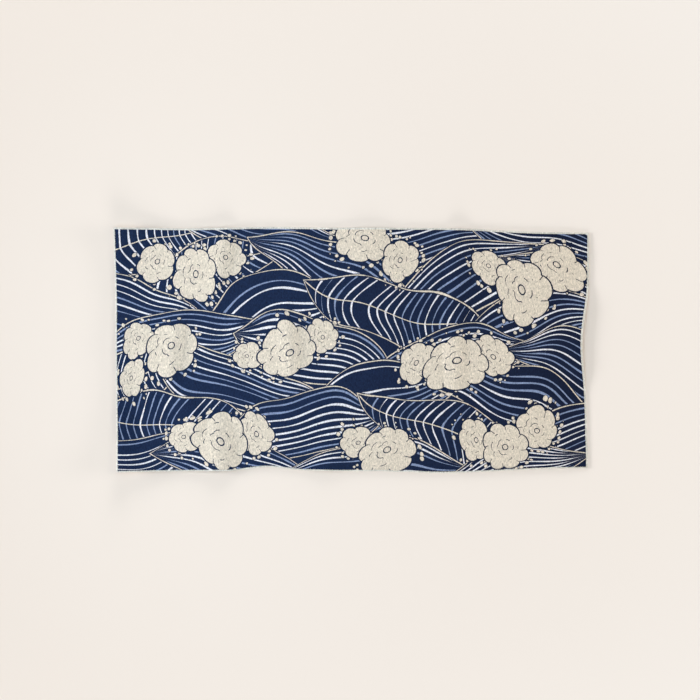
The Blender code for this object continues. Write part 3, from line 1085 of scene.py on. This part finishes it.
def bud_colour(put, place, near, ground, behind):
    """A bud's radius is random, times the root of one less the distance off the band's middle."""
    from_point, chance, _ = put("TexVoronoi 2D", {
        "Vector": place, "Scale": 1 / BUD_SPACING, "Randomness": BUD_SCATTER,
    })
    off_band = put("Math ABSOLUTE", put("Math SUBTRACT", near, BUD_BAND))
    band = put("Math MULTIPLY_ADD", off_band, -1 / BUD_REACH, 1.0, use_clamp=True)
    red, green, _ = put("SeparateColor", chance)
    kept = put("Math LESS_THAN", red, BUD_SHARE)
    size = put("Math MULTIPLY_ADD", green, BUD_MORE, BUD_LEAST)
    size = put("Math MULTIPLY", size, put("Math SQRT", band))
    size = put("Math MULTIPLY", size, kept)
    has_bud = put("Math GREATER_THAN", size, BUD_TINY)
    outer = put("Math ADD", size, BUD_OUTLINE)
    colour = behind
    for reach, ink in ((outer, ground), (size, CREAM)):
        shown = put("Math MULTIPLY", put("Math LESS_THAN", from_point, reach), has_bud)
        colour = put("Mix RGBA", shown, colour, ink)
    return colour


# %% [markdown]
# ## Terry
#
# Terry is dull, because its surface is loops standing on end: light goes in between them and little comes
# straight back. So the roughness is nearly full, the specular level low, and a little sheen stands for the
# fibres that catch light at a glancing angle. Real loops are about 2 mm across. They would be too fine to
# show from here, so the grain is drawn about 4 mm across and 7 mm long, the way the rows of loops lean
# together.

# %% Terry finish
GRAIN_ACROSS = 0.0036
GRAIN_ALONG = 0.0072
GRAIN = {"Scale": 1.0, "Detail": 2.0, "Distortion": 0.8}
GRAIN_DEPTH = 0.0014
GRAIN_BUMP = 0.6
GRAIN_TONE = 0.66
TERRY = {
    "Roughness": 0.95, "IOR": 1.5, "Specular IOR Level": 0.06, "Sheen Weight": 0.03, "Sheen Roughness": 0.6,
}


def terry_surface(put, colour, flat):
    """Terry in a colour: its grain is a noise, longer than wide, that tones the colour and bumps it."""
    stretched = put("VectorMath MULTIPLY", flat, (1 / GRAIN_ACROSS, 1 / GRAIN_ALONG, 1.0))
    grain = put("TexNoise 2D", {"Vector": stretched, **GRAIN}, output="Fac")
    tone = put("Math MULTIPLY_ADD", grain, 2 * GRAIN_TONE, 1.0 - GRAIN_TONE)
    toned = put("Mix RGBA", 1.0, colour, tone, blend_type="MULTIPLY")
    finish_cloth(put, toned, TERRY, grain, GRAIN_BUMP, GRAIN_DEPTH)


# %% [markdown]
# ## Printed cotton terry, and the same cloth unprinted
#
# The print stops about 5 mm short of the cloth's edge, where the hem is turned, and shows the undyed cotton
# there. The back and the rim are undyed too. The distance to the edge is worked out from the flat place.

# %% Printed and plain terry
PRINT_MARGIN = 0.0046
MARGIN_SOFT = 0.0012
MARGIN_RAGGED_SPACING = 0.004
MARGIN_RAGGED = 0.002


def margin_mask(put, place):
    """1 on the print and 0 within the margin, from the smaller of the distances to the two edges."""
    inner = (FLAT_LONG / 2 - PRINT_MARGIN, FLAT_SHORT / 2 - PRINT_MARGIN, 0.0)
    inset = put("VectorMath SUBTRACT", inner, put("VectorMath ABSOLUTE", place))
    x, y, _ = put("SeparateXYZ", inset)
    return soft_line(put, put("Math MINIMUM", x, y), MARGIN_SOFT)


def printed_terry():
    """The leaves, the buds and the blossoms in that order, inside an undyed margin."""
    material, put = new_material("printed_cotton_terry")
    flat, place = drawn_place(put)
    # The navy ground, with painted shade that darkens it towards the right.
    ground = ground_with_painted_shade(put, flat)
    leaves = leaf_colour(put, place, ground)
    front, near = front_blossom(put, place)
    buds = bud_colour(put, place, near, ground, leaves)
    blossoms = blossom_colour(put, front, ground, buds)
    inked = margin_mask(put, shifted(put, flat, flat, MARGIN_RAGGED_SPACING, MARGIN_RAGGED, 1.0))
    terry_surface(put, put("Mix RGBA", inked, UNDYED, blossoms), flat)
    print("printed terry:", len(material.node_tree.nodes), "nodes")
    return material


def undyed_terry():
    """The undyed cotton of the back, the rim and its loops."""
    material, put = new_material("undyed_cotton_terry")
    terry_surface(put, UNDYED, put("TexCoord", output="Object"))
    return material


# %% [markdown]
# ## Sewing thread
#
# The hem is sewn with spun polyester. It is smooth beside the terry and shines a little more, and the fine
# slanted ribs on it are its twist.

# %% Sewing thread
THREAD_TWIST = 0.004
THREAD_UNEVEN = 0.5
THREAD_BUMP = 0.4
THREAD_RIB = 0.0002
POLYESTER = {"Roughness": 0.6, "IOR": 1.5, "Specular IOR Level": 0.35}


def sewing_thread():
    """Slanted bands across the thread, a twist apart, as the bump of a half rough surface."""
    material, put = new_material("spun_polyester_thread")
    place = put("TexCoord", output="Object")
    waves = {"Vector": place, "Scale": 1 / THREAD_TWIST, "Distortion": THREAD_UNEVEN}
    ribs = put("TexWave DIAGONAL", waves, output="Color")
    finish_cloth(put, THREAD, POLYESTER, ribs, THREAD_BUMP, THREAD_RIB)
    return material


printed, undyed, thread = printed_terry(), undyed_terry(), sewing_thread()
towel.data.materials.append(printed)
towel.data.materials.append(undyed)
which = np.ones(len(towel.data.polygons), dtype=np.int32)
which[:len(upper_faces)] = 0
towel.data.polygons.foreach_set("material_index", which)
stitches.data.materials.append(thread)
rim_loops.data.materials.append(undyed)
print("materials:", [material.name for material in (printed, undyed, thread)])

# %% [markdown]
# ## What each piece stands for
#
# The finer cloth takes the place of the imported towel, and everything rides with it.

# %% Frame calls
for piece in (towel, stitches, rim_loops):
    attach(piece, "root")
    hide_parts("towel")
print("pieces:", [piece.name for piece in (towel, stitches, rim_loops)])

# %% [markdown]
# ## Floor
#
# The towel lies on a plain pale floor. A low light fades with distance, and the two high ones differ in
# colour, so a floor of one colour would look uneven. A studio evens out its backdrop; here the paper's
# colour does it. It changes slowly with x, with the square of x and with the square of y, and so looks the
# same all over.

# %% Floor
FLOOR_HALF = 3.4
FLOOR_DROP = 0.0004
FLOOR_REACH = 1.2
FLOOR_COLOUR = linear("ded3ca")[:3]
# The changes of linear colour with x, with x squared and with y squared.
FLOOR_CHANGES = ((0.0575, 0.0698, 0.0829), (-0.0100, 0.0031, 0.0140), (0.0685, 0.0726, 0.0729))
PAPER = {"Roughness": 1.0, "Specular IOR Level": 0.0}


def backdrop_paper():
    """Matt paper: the middle's colour plus three small colours, times x, x squared and y squared."""
    material, put = new_material("matt_backdrop_paper")
    held = put("VectorMath MINIMUM", put("TexCoord", output="Object"), (FLOOR_REACH,) * 3)
    held = put("VectorMath MAXIMUM", held, (-FLOOR_REACH,) * 3)
    x, _, _ = put("SeparateXYZ", held)
    x_squared, y_squared, _ = put("SeparateXYZ", put("VectorMath MULTIPLY", held, held))
    colour = FLOOR_COLOUR
    for change, amount in zip(FLOOR_CHANGES, (x, x_squared, y_squared)):
        colour = put("VectorMath ADD", colour, put("VectorMath SCALE", change, amount))
    put("OutputMaterial", {"Surface": put("BsdfPrincipled", {"Base Color": colour, **PAPER})})
    return material


corners = np.array([(-1.0, -1.0), (1.0, -1.0), (1.0, 1.0), (-1.0, 1.0)]) * FLOOR_HALF
floor_points = np.column_stack([corners, np.full(4, -FLOOR_DROP)])
floor = make_mesh("floor", floor_points, np.array([[0, 1, 2, 3]]))
floor.data.materials.append(backdrop_paper())

# %% [markdown]
# ## Light
#
# Folds a few millimetres high only show in light that comes in low. The key light stands on the left, about
# 12 degrees up, so that it brightens the left flank of each fold and shades the right one. Three more low
# lights, on the other sides, lay soft shadows along the rim. A pale dome fills these in, and two weak
# lights overhead, a cool one on the left and a warm one on the right, tint the cloth a little.

# %% Light
HORIZON_LIGHT = 0.90
ZENITH_LIGHT = 0.05
WHITE = (1.0, 1.0, 1.0)
HORIZON_TOP = 0.20
ZENITH_STARTS = 0.50
Lamp = namedtuple("Lamp", "name place wide tall power colour")
LAMPS = (
    Lamp("key_left", (-6.0, 0.1, 1.25), 2.8, 1.0, 605.0, WHITE),
    Lamp("low_top", (0.5, 8.0, 1.5), 3.5, 1.6, 520.0, WHITE),
    Lamp("low_bottom", (0.5, -8.0, 1.5), 3.5, 1.6, 520.0, WHITE),
    Lamp("low_right", (8.0, 0.0, 1.3), 3.5, 1.2, 450.0, WHITE),
    Lamp("over_left", (-0.7, 0.0, 1.4), 1.2, 1.2, 12.0, (0.60, 0.82, 1.0)),
    Lamp("over_right", (2.0, 0.0, 2.1), 1.2, 1.2, 18.0, (1.0, 0.88, 0.66)),
)


def make_lamp(lamp):
    """A soft rectangular light that faces the middle of the scene."""
    light = bpy.data.lights.new(lamp.name, "AREA")
    light.shape = "RECTANGLE"
    light.size, light.size_y = lamp.wide, lamp.tall
    light.energy = lamp.power
    light.color = lamp.colour
    made = bpy.data.objects.new(lamp.name, light)
    made.location = lamp.place
    made.visible_camera = False
    made.rotation_euler = (-Vector(lamp.place)).to_track_quat("-Z", "Y").to_euler()
    bpy.context.scene.collection.objects.link(made)


for lamp in LAMPS:
    make_lamp(lamp)

world = bpy.data.worlds.new("pale_dome")
world.use_nodes = True
world.node_tree.nodes.clear()
put = partial(add_node, world.node_tree)
_, _, height = put("SeparateXYZ", put("TexCoord", output="Generated"))
strength = put("MapRange SMOOTHSTEP", height, HORIZON_TOP, ZENITH_STARTS, HORIZON_LIGHT, ZENITH_LIGHT)
glow = put("Background", {"Color": (*WHITE, 1.0), "Strength": strength})
put("OutputWorld", {"Surface": glow})
bpy.context.scene.world = world
bpy.context.scene.view_settings.view_transform = "Standard"
print("lamps:", [lamp.name for lamp in LAMPS])
